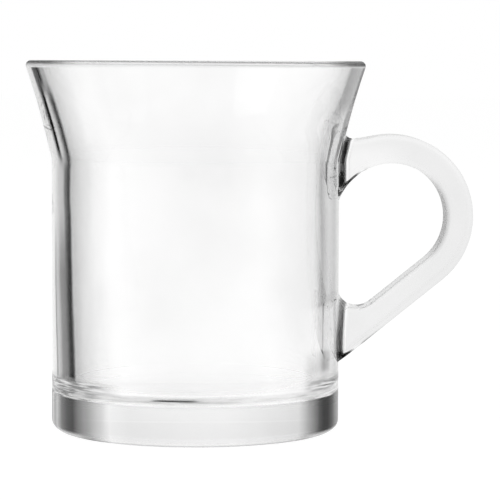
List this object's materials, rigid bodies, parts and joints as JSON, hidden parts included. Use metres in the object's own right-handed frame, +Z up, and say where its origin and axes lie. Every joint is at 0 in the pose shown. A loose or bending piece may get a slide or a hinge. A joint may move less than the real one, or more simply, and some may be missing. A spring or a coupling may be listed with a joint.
{
  "type": "glass cup",
  "caption": "Clear pressed glass cup for coffee with milk: straight body, flared mouth with a rounded lip, thick base and a looped side handle.",
  "frame": {"origin": "on the cup's axis, in the plane of the ring that the base stands on", "axes": "+Z up along the cup's axis, +X from the axis towards the handle, +Y across the handle"},
  "size_m": [0.1148, 0.0872, 0.095],
  "materials": {
    "clear_glass": "fire polished, smooth and clear"
  },
  "bodies": {
    "root": {"cup_wall": "clear_glass", "thick_base": "clear_glass", "handle": "clear_glass"}
  },
  "joints": []
}
